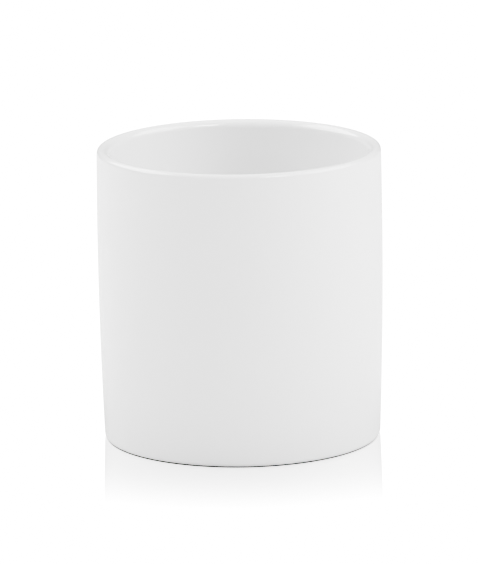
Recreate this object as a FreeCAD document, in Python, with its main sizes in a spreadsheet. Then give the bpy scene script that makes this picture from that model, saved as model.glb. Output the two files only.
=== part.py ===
import FreeCAD, Part

import math
import os

import Sketcher

# A straight-sided pen holder cup in glazed white ceramic.
#
# The clay wall, floor and foot ring are one fired piece. A glassy glaze coats it in two areas, because the
# foot ring that stands on the kiln shelf is wiped bare: one coat runs from the foot's outer edge up the wall,
# over the rim and down to the inside floor, and the other lies in the recess under the base.
#
# Millimetres. The origin is the centre of the foot, on the table, and +Z is up. Each piece is a half section
# in the XZ plane, turned about Z.

SIZES = [
    ("height", 94.0, "overall height"),
    ("belly_radius", 45.5, "outside radius at the widest point of the wall"),
    ("belly_height", 66.0, "height of the widest point of the wall"),
    ("wall_bow", 1700.0, "radius of the wall's slight outward bow"),
    ("wall", 4.0, "thickness of the wall with both its glazes"),
    ("lip_outside", 1.5, "radius of the glazed rim's outer rounding"),
    ("lip_inside", 2.4, "radius of the glazed rim's inner rounding, the softer of the two"),
    ("glaze", 0.3, "thickness of the glaze"),
    ("floor_height", 6.0, "height of the glazed inside floor above the table"),
    ("inner_corner", 7.0, "radius of the glazed corner between wall and inside floor"),
    ("foot_edge", 1.4, "radius of the clay foot's outer edge"),
    ("recess_radius", 36.8, "radius of the flat part of the recess under the base"),
    ("recess_depth", 1.5, "height of the glazed underside above the table"),
    ("recess_corner", 3.0, "radius of the clay recess's dished edge, which ends at the foot ring"),
    ("foot_sponging", 0.4, "radius of the foot ring's inner edge, softened with a sponge"),
    ("outer_wipe_angle", -38.0, "degrees above level where the glaze ends on the foot's outer edge"),
    ("recess_wipe_angle", 50.0, "degrees above level where the glaze ends on the recess's dished edge"),
]

SHEET = "Sizes"
START, END, CENTRE = 1, 2, 3  # the points of a sketch element
ORIGIN = (-1, 1)  # the sketch's own origin, as a sketch element and point
HEIGHT_AXIS = -2  # the sketch's vertical axis, which is the cup's axis
ANY_TURN = math.pi / 4  # where an arc's end is drawn until its constraints place it
TOUCHING = 0.001  # mm within which an edge lies on the table


def size_sheet(doc):
    """The driving dimensions, one row each: name, value, meaning."""
    sheet = doc.addObject("Spreadsheet::Sheet", SHEET)
    for row, (name, value, meaning) in enumerate(SIZES, start=1):
        sheet.set(f"A{row}", name)
        sheet.set(f"B{row}", str(value))
        sheet.set(f"C{row}", meaning)
        sheet.setAlias(f"B{row}", name)
    doc.recompute()
    return sheet


class Section:
    """A half section in the XZ plane. Sizes are expressions on the sheet's names, such as "wall - glaze"."""

    def __init__(self, body, name):
        plane = next(f for f in body.Origin.OriginFeatures if f.Role == "XZ_Plane")
        self.sketch = body.newObject("Sketcher::SketchObject", name)
        self.sketch.AttachmentSupport = (plane, [""])
        self.sketch.MapMode = "FlatFace"

    def expression(self, text):
        """The text with each size's name pointing at its cell of the sheet."""
        names = {name for name, _, _ in SIZES}
        words = text.replace("(", "( ").replace(")", " )").split()
        return " ".join(f"{SHEET}.{word}" if word in names else word for word in words)

    def value(self, text):
        return float(self.sketch.evalExpression(self.expression(text)))

    def line(self, start, end):
        points = [FreeCAD.Vector(x, z, 0) for x, z in (start, end)]
        return self.sketch.addGeometry(Part.LineSegment(*points))

    def arc(self, centre, radius, start, end):
        """An arc that runs anticlockwise between two directions from its centre, in radians."""
        circle = Part.Circle(FreeCAD.Vector(*centre, 0), FreeCAD.Vector(0, 0, 1), radius)
        return self.sketch.addGeometry(Part.ArcOfCircle(circle, start, end))

    def constrain(self, kind, *where):
        return self.sketch.addConstraint(Sketcher.Constraint(kind, *where))

    def follow(self, constraint, text):
        """Makes a constraint follow the sheet."""
        self.sketch.setExpression(f"Constraints[{constraint}]", self.expression(text))

    def dimension(self, kind, where, text):
        self.follow(self.constrain(kind, *where, self.value(text)), text)

    def slope(self, line, text):
        """A line's angle above level, which the sheet gives in degrees."""
        self.follow(self.constrain("Angle", line, math.radians(self.value(text))), text)

    def place_height(self, element, point, text):
        self.dimension("DistanceY", (*ORIGIN, element, point), text)

    def place_radius(self, element, point, text):
        self.dimension("DistanceX", (*ORIGIN, element, point), text)


def cup_outline(section, depth):
    """The cup's surface from the foot's outer edge to the middle of the inside floor, lying depth below the
    glazed surface: foot edge, outer wall, outer lip, crest, inner lip, inner wall, inner corner and floor."""
    value = section.value
    wall_centre = (value("belly_radius - wall_bow"), value("belly_height"))
    outer_reach = value(f"wall_bow - {depth}")
    inner_reach = value(f"wall_bow - wall + {depth}")
    edge_radius = value(f"foot_edge + glaze - {depth}")
    outer_lip_radius = value(f"lip_outside - {depth}")
    inner_lip_radius = value(f"lip_inside - {depth}")
    corner_radius = value(f"inner_corner + {depth}")

    def on_wall(reach, height):
        """The point at a height whose distance from the wall's centre is reach, and its direction from it."""
        rise = height - wall_centre[1]
        run = math.sqrt(reach**2 - rise**2)
        return (wall_centre[0] + run, height), math.atan2(rise, run)

    edge_centre, edge_turn = on_wall(outer_reach - edge_radius, value("foot_edge"))
    outer_lip_centre, outer_lip_turn = on_wall(outer_reach - outer_lip_radius, value("height - lip_outside"))
    inner_lip_centre, inner_lip_turn = on_wall(inner_reach + inner_lip_radius, value("height - lip_inside"))
    corner_centre, corner_turn = on_wall(inner_reach - corner_radius, value("floor_height + inner_corner"))
    crest_level = value(f"height - {depth}")
    floor_level = value(f"floor_height - {depth}")

    edge = section.arc(edge_centre, edge_radius, -ANY_TURN, edge_turn)
    outer = section.arc(wall_centre, outer_reach, edge_turn, outer_lip_turn)
    outer_lip = section.arc(outer_lip_centre, outer_lip_radius, outer_lip_turn, math.pi / 2)
    crest = section.line((outer_lip_centre[0], crest_level), (inner_lip_centre[0], crest_level))
    inner_lip = section.arc(inner_lip_centre, inner_lip_radius, math.pi / 2, inner_lip_turn + math.pi)
    inner = section.arc(wall_centre, inner_reach, corner_turn, inner_lip_turn)
    corner = section.arc(corner_centre, corner_radius, -math.pi / 2, corner_turn)
    floor = section.line((corner_centre[0], floor_level), (0, floor_level))

    section.constrain("Tangent", edge, END, outer, START)
    section.constrain("Tangent", outer, END, outer_lip, START)
    section.constrain("Tangent", outer_lip, END, crest, START)
    section.constrain("Tangent", crest, END, inner_lip, START)
    section.constrain("Tangent", inner_lip, END, inner, END)
    section.constrain("Tangent", inner, START, corner, END)
    section.constrain("Tangent", corner, START, floor, START)
    section.constrain("Coincident", outer, CENTRE, inner, CENTRE)
    section.constrain("Horizontal", crest)
    section.constrain("Horizontal", floor)
    section.constrain("PointOnObject", floor, END, HEIGHT_AXIS)

    section.place_radius(outer, CENTRE, "belly_radius - wall_bow")
    section.place_height(outer, CENTRE, "belly_height")
    section.dimension("Radius", (outer,), f"wall_bow - {depth}")
    section.dimension("Radius", (inner,), f"wall_bow - wall + {depth}")
    section.dimension("Radius", (outer_lip,), f"lip_outside - {depth}")
    section.dimension("Radius", (inner_lip,), f"lip_inside - {depth}")
    section.place_height(crest, START, f"height - {depth}")
    section.dimension("Radius", (corner,), f"inner_corner + {depth}")
    section.place_height(floor, END, f"floor_height - {depth}")
    section.dimension("Radius", (edge,), f"foot_edge + glaze - {depth}")
    section.place_height(edge, CENTRE, "foot_edge")
    return {"edge": edge, "floor": floor}


def recess_outline(section, depth):
    """The recess under the base, lying depth above its glazed surface: a flat ceiling and its dished edge."""
    value = section.value
    dish_centre = (value("recess_radius"), value("recess_depth + glaze - recess_corner"))
    dish_radius = value(f"recess_corner - glaze + {depth}")
    ceiling_level = value(f"recess_depth + {depth}")

    dish = section.arc(dish_centre, dish_radius, ANY_TURN, math.pi / 2)
    ceiling = section.line((0, ceiling_level), (dish_centre[0], ceiling_level))

    section.constrain("Tangent", dish, END, ceiling, END)
    section.constrain("Horizontal", ceiling)
    section.constrain("PointOnObject", ceiling, START, HEIGHT_AXIS)
    section.place_height(ceiling, START, f"recess_depth + {depth}")
    section.place_radius(dish, CENTRE, "recess_radius")
    section.dimension("Radius", (dish,), f"recess_corner - glaze + {depth}")
    return {"dish": dish, "ceiling": ceiling}


def close_on_axis(section, upper, upper_point, lower, lower_point):
    """A line along the cup's axis that joins two elements which end on it."""
    axis = section.line((0, 1), (0, 0))
    section.constrain("Coincident", upper, upper_point, axis, START)
    section.constrain("Coincident", lower, lower_point, axis, END)


def wiped_end(section, near, far, angle):
    """The coat's end face, where the glaze was wiped away. It is square to the two arcs that it joins, of
    which near is the smaller, and angle says how far above level it is as seen from their centre."""
    turn = math.radians(section.value(angle))
    arcs = [section.sketch.Geometry[element] for element in (near, far)]
    ends = [(a.Center.x + a.Radius * math.cos(turn), a.Center.y + a.Radius * math.sin(turn)) for a in arcs]
    face = section.line(*ends)
    section.constrain("Coincident", near, START, face, START)
    section.constrain("Coincident", far, START, face, END)
    section.constrain("PointOnObject", near, CENTRE, face)
    section.slope(face, angle)


def turned_body(doc, label, draw):
    """A body whose half section is turned once round the cup's axis."""
    body = doc.addObject("PartDesign::Body", label)
    body.Label = label
    section = Section(body, f"{label}_section")
    draw(section)
    turn = body.newObject("PartDesign::Revolution", f"{label}_turn")
    turn.Profile = section.sketch
    turn.ReferenceAxis = (section.sketch, ["V_Axis"])
    turn.Angle = 360
    section.sketch.Visibility = False
    doc.recompute()
    return body


def draw_clay(section):
    cup = cup_outline(section, "glaze")
    recess = recess_outline(section, "glaze")
    foot_inside = section.value("recess_radius + recess_corner")
    foot_outside = section.value("belly_radius - foot_edge")
    foot = section.line((foot_inside, 0), (foot_outside, 0))
    section.constrain("Horizontal", foot)
    section.constrain("Tangent", foot, END, cup["edge"], START)
    section.constrain("Coincident", foot, START, recess["dish"], START)
    close_on_axis(section, cup["floor"], END, recess["ceiling"], START)


def draw_cup_glaze(section):
    surface = cup_outline(section, "0")
    clay = cup_outline(section, "glaze")
    close_on_axis(section, surface["floor"], END, clay["floor"], END)
    wiped_end(section, clay["edge"], surface["edge"], "outer_wipe_angle")


def draw_underside_glaze(section):
    surface = recess_outline(section, "0")
    clay = recess_outline(section, "glaze")
    close_on_axis(section, clay["ceiling"], START, surface["ceiling"], START)
    wiped_end(section, surface["dish"], clay["dish"], "recess_wipe_angle")


def sponge_foot(doc, body):
    """Softens the foot ring's inner edge, which is the smaller of the two circles on the table."""
    turn = body.Tip
    on_table = {
        f"Edge{number}": edge.BoundBox.XMax
        for number, edge in enumerate(turn.Shape.Edges, start=1)
        if edge.BoundBox.ZMax < TOUCHING
    }
    fillet = body.newObject("PartDesign::Fillet", "foot_sponging")
    fillet.Base = (turn, [min(on_table, key=on_table.get)])
    fillet.setExpression("Radius", f"{SHEET}.foot_sponging")
    body.Tip = fillet
    doc.recompute()


def check(doc, bodies):
    """Stops if any object failed, or any piece isn't one valid solid."""
    for item in doc.Objects:
        if {"Invalid", "Error"} & set(item.State):
            raise RuntimeError(f"{item.Label} failed: {item.State}")
    for item in doc.findObjects("Sketcher::SketchObject"):
        if item.solve() != 0 or not item.FullyConstrained:
            raise RuntimeError(f"{item.Label} isn't fully constrained")
    for body in bodies:
        if body.Shape.isNull() or not body.Shape.isValid() or len(body.Shape.Solids) != 1:
            raise RuntimeError(f"{body.Label} isn't one valid solid")


def main():
    doc = FreeCAD.newDocument("pen_holder_cup")
    size_sheet(doc)
    clay_body = turned_body(doc, "clay_body", draw_clay)
    sponge_foot(doc, clay_body)
    cup_glaze = turned_body(doc, "cup_glaze", draw_cup_glaze)
    underside_glaze = turned_body(doc, "underside_glaze", draw_underside_glaze)
    bodies = [clay_body, cup_glaze, underside_glaze]
    check(doc, bodies)
    os.makedirs("parts", exist_ok=True)
    for body in bodies:
        body.Shape.exportStep(f"parts/{body.Label}.step")
        print(f"{body.Label}: {body.Shape.Volume:.1f} mm3")


main()
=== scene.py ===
import math

import bpy
from mathutils import Matrix, Vector


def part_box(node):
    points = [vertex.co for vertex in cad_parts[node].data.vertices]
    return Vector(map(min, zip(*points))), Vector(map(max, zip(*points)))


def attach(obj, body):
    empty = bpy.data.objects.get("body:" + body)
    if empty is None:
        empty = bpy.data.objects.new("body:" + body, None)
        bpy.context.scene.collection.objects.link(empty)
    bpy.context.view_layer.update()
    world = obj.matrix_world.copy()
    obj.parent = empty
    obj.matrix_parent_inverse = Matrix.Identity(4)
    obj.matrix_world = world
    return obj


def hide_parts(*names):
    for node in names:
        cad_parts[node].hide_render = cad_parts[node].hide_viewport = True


# A pen holder cup: a white fired clay cup with a glossy white glaze. The glaze covers everything but the foot
# ring, in two coats. Everything is in metres, and the cup stands on the floor at the origin.

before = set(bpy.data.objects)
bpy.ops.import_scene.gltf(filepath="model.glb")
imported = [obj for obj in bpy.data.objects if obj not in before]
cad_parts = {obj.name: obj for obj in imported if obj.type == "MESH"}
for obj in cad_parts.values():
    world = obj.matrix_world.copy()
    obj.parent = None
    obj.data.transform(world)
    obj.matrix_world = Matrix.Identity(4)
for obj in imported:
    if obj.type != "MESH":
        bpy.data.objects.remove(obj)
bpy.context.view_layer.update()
clay_low, clay_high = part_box("clay_body")
coat_low, coat_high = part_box("cup_glaze")
base_low, base_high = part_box("underside_glaze")

MM = 0.001

# The cup's outside and its glaze, as the frame has them.
HEIGHT = coat_high.z
BELLY_RADIUS = coat_high.x
GLAZE = coat_high.z - clay_high.z
RECESS_CEILING = base_high.z  # the clay above the underside's glaze

# The rest of the cup's section.
BELLY_HEIGHT = 66 * MM  # where the wall is widest
WALL_BOW = 1700 * MM  # radius of the wall's slight outward bow
WALL = 4 * MM  # both glazes included
LIP_OUTSIDE = 1.5 * MM  # the rim's outer rounding
LIP_INSIDE = 2.4 * MM  # its inner rounding, the softer of the two
FLOOR_HEIGHT = 6 * MM  # the glazed inside floor
INNER_CORNER = 7 * MM  # glazed corner between wall and inside floor
FOOT_EDGE = 1.4 * MM  # outer edge of the clay foot
RECESS_RADIUS = 36.8 * MM  # flat part of the recess under the base
RECESS_CORNER = 3 * MM  # the recess's dished clay edge
FOOT_SPONGING = 0.4 * MM  # softened inner edge of the foot ring
OUTER_WIPE = math.radians(-38)  # where the outer coat ends on the foot's edge
RECESS_WIPE = math.radians(50)  # where the underside's coat ends on the dished edge

TURNS = 256  # steps round the wheel


# Shapes


def on_section(radius, height):
    """A point of the half section, which lies in the XZ plane."""
    return Vector((radius, 0, height))


def towards(centre, reach, turn):
    """The point at a reach from a centre, at an angle above level."""
    return centre + reach * on_section(math.cos(turn), math.sin(turn))


class HalfSection:
    """A piece's half section, pulled out from one point along lines and arcs, then turned on the wheel."""

    def __init__(self, name, start):
        bpy.ops.object.select_all(action="DESELECT")
        bpy.ops.mesh.primitive_plane_add(size=MM, location=start, enter_editmode=True)
        bpy.ops.mesh.merge(type="CENTER")
        self.piece = bpy.context.active_object
        self.piece.name = name
        self.piece.data.name = name
        self.end = start

    def line(self, end, steps=1):
        step = (end - self.end) / steps
        for _ in range(steps):
            bpy.ops.mesh.extrude_vertices_move(TRANSFORM_OT_translate={"value": step})
        self.end = end

    def arc(self, centre, turn, steps):
        """Carries on round a centre, anticlockwise where the turn is positive."""
        bpy.ops.mesh.spin(steps=steps, angle=turn, center=centre, axis=(0, 1, 0), use_auto_merge=False)
        reach = self.end - centre
        self.end = towards(centre, reach.length, math.atan2(reach.z, reach.x) + turn)

    def turn_on_wheel(self):
        """Turns the section once round the cup's axis and returns the closed piece, at the origin."""
        bpy.ops.mesh.select_all(action="SELECT")
        bpy.ops.mesh.spin(steps=TURNS, angle=math.tau, center=(0, 0, 0), axis=(0, 0, 1), use_auto_merge=True)
        bpy.ops.mesh.select_all(action="SELECT")
        bpy.ops.mesh.remove_doubles(threshold=0.002 * MM)
        bpy.ops.mesh.normals_make_consistent(inside=False)
        bpy.ops.object.mode_set(mode="OBJECT")
        bpy.ops.object.transform_apply(location=True, rotation=True, scale=True)
        bpy.ops.object.shade_smooth()
        return self.piece


class CupOutline:
    """The arcs of the cup's surface, lying depth below the glazed one: foot edge, wall, rim and inside."""

    def __init__(self, depth):
        self.wall_centre = on_section(BELLY_RADIUS - WALL_BOW, BELLY_HEIGHT)
        self.outer_reach = WALL_BOW - depth
        self.inner_reach = WALL_BOW - WALL + depth
        self.edge_radius = FOOT_EDGE + GLAZE - depth
        self.corner_radius = INNER_CORNER + depth
        self.edge_centre, self.edge_turn = self.on_wall(self.outer_reach - self.edge_radius, FOOT_EDGE)
        self.outer_lip_centre, self.outer_lip_turn = self.on_wall(
            WALL_BOW - LIP_OUTSIDE, HEIGHT - LIP_OUTSIDE
        )
        self.inner_lip_centre, self.inner_lip_turn = self.on_wall(
            WALL_BOW - WALL + LIP_INSIDE, HEIGHT - LIP_INSIDE
        )
        self.inner_crest = on_section(self.inner_lip_centre.x, HEIGHT - depth)
        self.outer_crest = on_section(self.outer_lip_centre.x, HEIGHT - depth)
        self.corner_centre, self.corner_turn = self.on_wall(
            self.inner_reach - self.corner_radius, FLOOR_HEIGHT + INNER_CORNER
        )
        self.floor_middle = on_section(0, FLOOR_HEIGHT - depth)

    def on_wall(self, reach, height):
        """The point at a height that lies reach from the wall's centre, and its angle above level there."""
        rise = height - self.wall_centre.z
        run = math.sqrt(reach**2 - rise**2)
        return on_section(self.wall_centre.x + run, height), math.atan2(rise, run)

    def edge_point(self, turn):
        return towards(self.edge_centre, self.edge_radius, turn)

    def draw_up(self, section, start_turn, steps):
        """From the foot's edge up the wall, over the rim and down to the middle of the inside floor."""
        section.arc(self.edge_centre, self.edge_turn - start_turn, steps["edge"])
        section.arc(self.wall_centre, self.outer_lip_turn - self.edge_turn, steps["wall"])
        section.arc(self.outer_lip_centre, math.pi / 2 - self.outer_lip_turn, steps["lip"])
        section.line(self.inner_crest)
        section.arc(self.inner_lip_centre, math.pi / 2 + self.inner_lip_turn, steps["lip"])
        section.arc(self.wall_centre, self.corner_turn - self.inner_lip_turn, steps["wall"])
        section.arc(self.corner_centre, -math.pi / 2 - self.corner_turn, steps["corner"])
        section.line(self.floor_middle, steps["floor"])

    def draw_down(self, section, end_turn, steps):
        """The same way back, to the foot's edge."""
        corner_bottom = towards(self.corner_centre, self.corner_radius, -math.pi / 2)
        section.line(corner_bottom, steps["floor"])
        section.arc(self.corner_centre, self.corner_turn + math.pi / 2, steps["corner"])
        section.arc(self.wall_centre, self.inner_lip_turn - self.corner_turn, steps["wall"])
        section.arc(self.inner_lip_centre, -math.pi / 2 - self.inner_lip_turn, steps["lip"])
        section.line(self.outer_crest)
        section.arc(self.outer_lip_centre, self.outer_lip_turn - math.pi / 2, steps["lip"])
        section.arc(self.wall_centre, self.edge_turn - self.outer_lip_turn, steps["wall"])
        section.arc(self.edge_centre, end_turn - self.edge_turn, steps["edge"])


SEEN = {"edge": 14, "wall": 52, "lip": 16, "corner": 18, "floor": 14}
UNDER_GLAZE = {"edge": 6, "wall": 13, "lip": 6, "corner": 8, "floor": 2}
BARE = {"edge": 16, "wall": 13, "lip": 6, "corner": 8, "floor": 2}


def make_cup_coat():
    """The glaze from the foot's edge up the wall, over the rim and down to the inside floor."""
    surface, clay = CupOutline(0), CupOutline(GLAZE)
    bead_centre = towards(clay.edge_centre, (surface.edge_radius + clay.edge_radius) / 2, OUTER_WIPE)
    section = HalfSection("cup_glaze_coat", clay.edge_point(OUTER_WIPE))
    section.arc(bead_centre, math.pi, 8)
    surface.draw_up(section, OUTER_WIPE, SEEN)
    section.line(clay.floor_middle)
    clay.draw_down(section, OUTER_WIPE, UNDER_GLAZE)
    return section.turn_on_wheel()


def recess_dish(depth):
    """The centre and radius of the recess's dished edge, lying depth above its glazed surface."""
    return on_section(RECESS_RADIUS, RECESS_CEILING - RECESS_CORNER), RECESS_CORNER - GLAZE + depth


def make_underside_coat():
    """The glaze in the recess under the base."""
    centre, surface_radius = recess_dish(0)
    clay_radius = recess_dish(GLAZE)[1]
    bead_centre = towards(centre, (surface_radius + clay_radius) / 2, RECESS_WIPE)
    section = HalfSection("underside_glaze_coat", on_section(0, RECESS_CEILING))
    section.line(on_section(RECESS_RADIUS, RECESS_CEILING), 2)
    section.arc(centre, RECESS_WIPE - math.pi / 2, 8)
    section.arc(bead_centre, -math.pi, 8)
    section.arc(centre, math.pi / 2 - RECESS_WIPE, 12)
    section.line(on_section(0, RECESS_CEILING - GLAZE), 14)
    return section.turn_on_wheel()


def make_clay():
    """The fired clay cup. Only its foot ring shows."""
    clay = CupOutline(GLAZE)
    dish_centre, dish_radius = recess_dish(GLAZE)
    sponge_rise = FOOT_SPONGING - dish_centre.z
    sponge_reach = dish_radius + FOOT_SPONGING
    sponge_turn = math.asin(sponge_rise / sponge_reach)
    sponge_centre = towards(dish_centre, sponge_reach, sponge_turn)
    section = HalfSection("clay_cup", on_section(0, RECESS_CEILING))
    section.line(on_section(RECESS_RADIUS, RECESS_CEILING), 2)
    section.arc(dish_centre, sponge_turn - math.pi / 2, 14)
    section.arc(sponge_centre, math.pi / 2 - sponge_turn, 8)
    section.line(on_section(clay.edge_centre.x, 0), 5)
    clay.draw_up(section, -math.pi / 2, BARE)
    return section.turn_on_wheel()


cup_coat = make_cup_coat()
underside_coat = make_underside_coat()
clay_cup = make_clay()


# Finishes


class Signal:
    """A number that a shader node gives. Arithmetic on it adds Math nodes."""

    def __init__(self, recipe, socket):
        self.recipe = recipe
        self.socket = socket

    def maths(self, operation, *values):
        return self.recipe.node("ShaderNodeMath", {"operation": operation}, dict(enumerate(values)))

    def __add__(self, other):
        return self.maths("ADD", self, other)

    def __sub__(self, other):
        return self.maths("SUBTRACT", self, other)

    def __rsub__(self, other):
        return self.maths("SUBTRACT", other, self)

    def __mul__(self, other):
        return self.maths("MULTIPLY", self, other)

    def __truediv__(self, other):
        return self.maths("DIVIDE", self, other)

    def __pow__(self, other):
        return self.maths("POWER", self, other)

    __radd__ = __add__
    __rmul__ = __mul__


class Recipe:
    """The shader nodes of one material."""

    def __init__(self, name):
        self.material = bpy.data.materials.new(name)
        self.material.use_nodes = True
        self.tree = self.material.node_tree
        self.tree.nodes.clear()

    def node(self, kind, settings, inputs, output=0):
        """A node with its settings, then its inputs by name or number, each a value or a Signal."""
        node = self.tree.nodes.new(kind)
        for name, value in settings.items():
            setattr(node, name, value)
        for name, value in inputs.items():
            if isinstance(value, Signal):
                self.tree.links.new(value.socket, node.inputs[name])
            else:
                node.inputs[name].default_value = value
        return Signal(self, node.outputs[output]) if node.outputs else node

    def place(self):
        """The place on the piece, in metres."""
        return self.node("ShaderNodeTexCoord", {}, {}, "Object")

    def reach(self, middle=(0, 0, 0)):
        """How far the place is from a middle, in metres."""
        settings = {"operation": "DISTANCE"}
        return self.node("ShaderNodeVectorMath", settings, {0: self.place(), 1: middle}, "Value")

    def noise(self, place, size, detail=2.0, roughness=0.5):
        """Cloudy noise from 0 to 1, with features of a size in metres."""
        inputs = {"Vector": place, "Scale": 1 / size, "Detail": detail, "Roughness": roughness}
        return self.node("ShaderNodeTexNoise", {}, inputs, 0)

    def fade(self, signal, start, end, start_value=0.0, end_value=1.0):
        """Goes smoothly from one value to another as the signal goes from start to end."""
        inputs = {"Value": signal, 1: start, 2: end, 3: start_value, 4: end_value}
        return self.node("ShaderNodeMapRange", {"interpolation_type": "SMOOTHSTEP"}, inputs)

    def mix(self, factor, first, second):
        """A colour between two colours."""
        return self.node("ShaderNodeMix", {"data_type": "RGBA"}, {0: factor, 6: first, 7: second}, 2)

    def bump(self, height, distance):
        return self.node("ShaderNodeBump", {}, {"Height": height, "Distance": distance})

    def finish(self, shader):
        self.node("ShaderNodeOutputMaterial", {}, {"Surface": shader})
        return self.material


def white_glaze():
    """Glossy white glaze: slightly cloudy, with the faint orange peel that it sets with."""
    recipe = Recipe("white_glaze")
    place = recipe.place()
    cloud = recipe.noise(place, 22 * MM)
    peel = recipe.noise(place, 1.6 * MM, 1.0)
    swell = recipe.noise(place, 9 * MM, 1.0)
    colour = recipe.mix(cloud, (0.80, 0.80, 0.80, 1), (0.83, 0.83, 0.83, 1))
    relief = swell + peel * 0.12
    shader = recipe.node(
        "ShaderNodeBsdfPrincipled",
        {},
        {
            "Base Color": colour,
            "Roughness": 0.07 + cloud * 0.04,
            "IOR": 1.58,
            "Normal": recipe.bump(relief, 0.03 * MM),
        },
    )
    return recipe.finish(shader)


def bare_clay():
    """Unglazed white clay: matt, with a fine grain and the rings that sanding on the wheel leaves."""
    recipe = Recipe("bare_clay")
    place = recipe.place()
    grain = recipe.noise(place, 0.25 * MM, 4.0, 0.6)
    across = recipe.node("ShaderNodeCombineXYZ", {}, {"X": recipe.reach()})
    rings = recipe.noise(across, 0.3 * MM, 3.0)
    cloud = recipe.noise(place, 6 * MM)
    shade = recipe.mix(cloud, (0.74, 0.71, 0.66, 1), (0.80, 0.78, 0.74, 1))
    speck = recipe.fade(grain, 0.70, 0.76)
    colour = recipe.mix(speck * 0.5, shade, (0.45, 0.40, 0.34, 1))
    shader = recipe.node(
        "ShaderNodeBsdfPrincipled",
        {},
        {
            "Base Color": colour,
            "Roughness": 0.80 + grain * 0.15,
            "IOR": 1.45,
            "Normal": recipe.bump(grain + rings * 0.8, 0.08 * MM),
        },
    )
    return recipe.finish(shader)


def give(piece, material):
    piece.data.materials.clear()
    piece.data.materials.append(material)


glaze_finish = white_glaze()
give(cup_coat, glaze_finish)
give(underside_coat, glaze_finish)
give(clay_cup, bare_clay())


# The frame

for piece, node, slot in (
    (cup_coat, "cup_glaze", "glaze"),
    (underside_coat, "underside_glaze", "glaze"),
    (clay_cup, "clay_body", "clay"),
):
    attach(piece, "root")
    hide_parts(node)


# The studio

WHITE = 6.0  # the floor and the backdrop, far brighter than the lit cup
AIR = 0.35  # the even light from all round
TABLE_SHADE = 0.8  # how pale the table is that the cup is lit back from
# Painted shade: the table's colour is made darker beside the foot, standing in for the cup's shade on it, and
# fades out further away
PAINTED_SHADE_BY_FOOT = 0.62  # and beside the foot
PAINTED_SHADE_END = 100 * MM
TABLE_HOLE = 43 * MM  # radius of the table's hole under the foot
TABLE_RADIUS = 1.505
SHADOW_MIDDLE = (-0.05 * MM, -0.6 * MM, 0)  # the contact shadow falls a hair towards the camera
SHADOW_START, SHADOW_END = 43.3 * MM, 44.4 * MM  # from dark to lit, from that middle
FLOOR_DROP = 0.02 * MM  # the floor lies a hair under the foot, and the table that far again under it
FLOOR_RADIUS = 5.0
FLOOR_WALL = 0.5  # the floor turns up this far at its rim, so that a low camera sees no horizon
DOME_RADIUS = 6.0
GLOSS_AT_FOOT = 0.8  # how much of a mirror the floor is beside the foot
GLOSS_END = 106 * MM  # where the floor stops mirroring the cup


def glow(recipe, strength):
    return recipe.node("ShaderNodeEmission", {}, {"Strength": strength})


def shining_floor():
    """A white floor that mirrors the cup near its foot and is dark where the foot hides it. It can't be seen
    from below, so that the underside can."""
    recipe = Recipe("shining_floor")
    lit = recipe.fade(recipe.reach(SHADOW_MIDDLE), SHADOW_START, SHADOW_END)
    gone = (recipe.reach() - BELLY_RADIUS) / (GLOSS_END - BELLY_RADIUS)
    gloss = (1 - gone**2) * GLOSS_AT_FOOT * lit
    mirror = recipe.node("ShaderNodeBsdfGlossy", {}, {"Color": (1, 1, 1, 1), "Roughness": 0.02})
    above = recipe.node("ShaderNodeMixShader", {}, {0: gloss, 1: glow(recipe, lit * WHITE), 2: mirror})
    clear = recipe.node("ShaderNodeBsdfTransparent", {}, {})
    from_below = recipe.node("ShaderNodeNewGeometry", {}, {}, "Backfacing")
    return recipe.finish(recipe.node("ShaderNodeMixShader", {}, {0: from_below, 1: above, 2: clear}))


def make_floor():
    """The floor that is seen, with its upturned rim. It gives the cup no light."""
    bpy.ops.object.select_all(action="DESELECT")
    bpy.ops.mesh.primitive_circle_add(
        vertices=128,
        radius=FLOOR_RADIUS,
        fill_type="NGON",
        location=(0, 0, -FLOOR_DROP),
        enter_editmode=True,
    )
    bpy.ops.mesh.select_mode(type="EDGE")
    bpy.ops.mesh.extrude_edges_move(TRANSFORM_OT_translate={"value": (0, 0, FLOOR_WALL)})
    bpy.ops.mesh.select_all(action="SELECT")
    bpy.ops.mesh.normals_make_consistent(inside=True)
    bpy.ops.object.mode_set(mode="OBJECT")
    floor = bpy.context.active_object
    floor.name = "studio_floor"
    floor.visible_diffuse = False
    floor.visible_glossy = False
    floor.visible_shadow = False
    give(floor, shining_floor())
    return floor


def pale_table_painted_shade():
    recipe = Recipe("pale_table_painted_shade")
    # Painted shade: the table's colour darkens towards the foot, in place of the shade the cup would cast on
    # it
    shade = recipe.fade(recipe.reach(), BELLY_RADIUS, PAINTED_SHADE_END, PAINTED_SHADE_BY_FOOT, TABLE_SHADE)
    return recipe.finish(recipe.node("ShaderNodeBsdfDiffuse", {}, {"Color": shade}))


def make_table():
    """A pale table that isn't seen, just under the floor. It throws light back up at the cup, and has a hole
    under the foot that lets light in to the underside."""
    bpy.ops.object.select_all(action="DESELECT")
    bpy.ops.mesh.primitive_circle_add(
        vertices=128,
        radius=TABLE_HOLE,
        fill_type="NOTHING",
        location=(0, 0, -2 * FLOOR_DROP),
        enter_editmode=True,
    )
    bpy.ops.mesh.extrude_edges_move()
    spread = TABLE_RADIUS / TABLE_HOLE
    bpy.ops.transform.resize(value=(spread, spread, spread))
    bpy.ops.object.mode_set(mode="OBJECT")
    table = bpy.context.active_object
    table.name = "studio_table"
    table.visible_camera = False
    give(table, pale_table_painted_shade())


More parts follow.
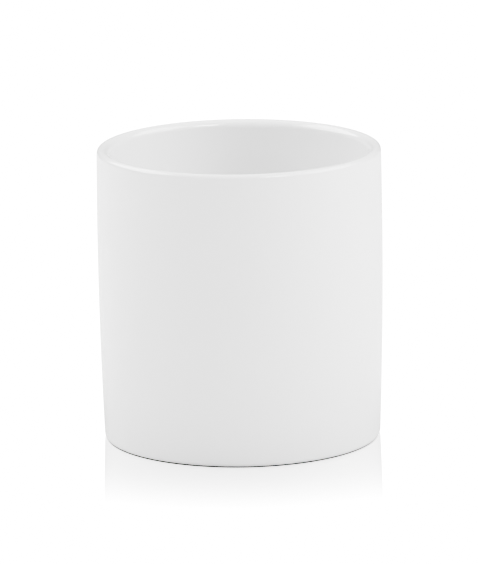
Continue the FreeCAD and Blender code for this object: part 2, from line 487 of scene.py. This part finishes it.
def make_backdrop(floor):
    """A white dome that only the floor's mirror sees. It is clear to the air's light."""
    recipe = Recipe("white_backdrop")
    clear = recipe.node("ShaderNodeBsdfTransparent", {}, {})
    veil = recipe.node("ShaderNodeAddShader", {}, {0: glow(recipe, WHITE - AIR), 1: clear})
    material = recipe.finish(veil)
    material.cycles.emission_sampling = "NONE"
    bpy.ops.object.select_all(action="DESELECT")
    bpy.ops.mesh.primitive_uv_sphere_add(segments=48, ring_count=24, radius=DOME_RADIUS)
    dome = bpy.context.active_object
    dome.name = "studio_backdrop"
    dome.visible_camera = False
    dome.visible_diffuse = False
    dome.visible_shadow = False
    mirrored_in = bpy.data.collections.new("mirrors_the_backdrop")
    mirrored_in.objects.link(floor)
    dome.light_linking.receiver_collection = mirrored_in
    give(dome, material)


def make_air():
    world = bpy.data.worlds.new("studio_air")
    world.use_nodes = True
    background = world.node_tree.nodes["Background"]
    background.inputs["Color"].default_value = (1, 1, 1, 1)
    background.inputs["Strength"].default_value = AIR
    bpy.context.scene.world = world


def around(azimuth, elevation, distance):
    """A place seen from the cup: azimuth is in degrees to the right of the camera."""
    turn, rise = math.radians(azimuth), math.radians(elevation)
    level = distance * math.cos(rise)
    return Vector((level * math.sin(turn), -level * math.cos(turn), distance * math.sin(rise)))


def make_softbox(name, azimuth, elevation, distance, width, height, watts):
    light = bpy.data.lights.new(name, "AREA")
    light.shape = "RECTANGLE"
    light.size = width
    light.size_y = height
    light.energy = watts
    softbox = bpy.data.objects.new(name, light)
    bpy.context.scene.collection.objects.link(softbox)
    middle = Vector((0, 0, HEIGHT / 2))
    softbox.location = middle + around(azimuth, elevation, distance)
    softbox.rotation_euler = (softbox.location - middle).to_track_quat("Z", "Y").to_euler()
    softbox.visible_camera = False
    return softbox


def make_camera():
    """A long lens, a little above the cup and a hair off level."""
    elevation, roll = math.radians(12.96), math.radians(0.81)
    data = bpy.data.cameras.new("camera")
    data.lens = 379.5
    data.sensor_width = 36
    camera = bpy.data.objects.new("camera", data)
    bpy.context.scene.collection.objects.link(camera)
    aim = Vector((-0.53 * MM, 0, HEIGHT / 2 + 2.7 * MM))
    back = Vector((0, -math.cos(elevation), math.sin(elevation)))
    facing = back.to_track_quat("Z", "Y").to_matrix() @ Matrix.Rotation(-roll, 3, "Z")
    camera.rotation_euler = facing.to_euler()
    camera.location = aim + back * 1.9
    bpy.context.scene.camera = camera


make_backdrop(make_floor())
make_table()
make_air()
make_softbox("right_softbox", 90, 40, 1.5, 1.3, 1.0, 31)
make_softbox("left_softbox", -108, 40, 1.5, 1.6, 1.0, 45)
make_softbox("key_softbox", 35, 45, 1.2, 0.35, 0.35, 9)
make_camera()
bpy.context.scene.view_settings.view_transform = "AgX"
bpy.context.scene.view_settings.look = "AgX - High Contrast"
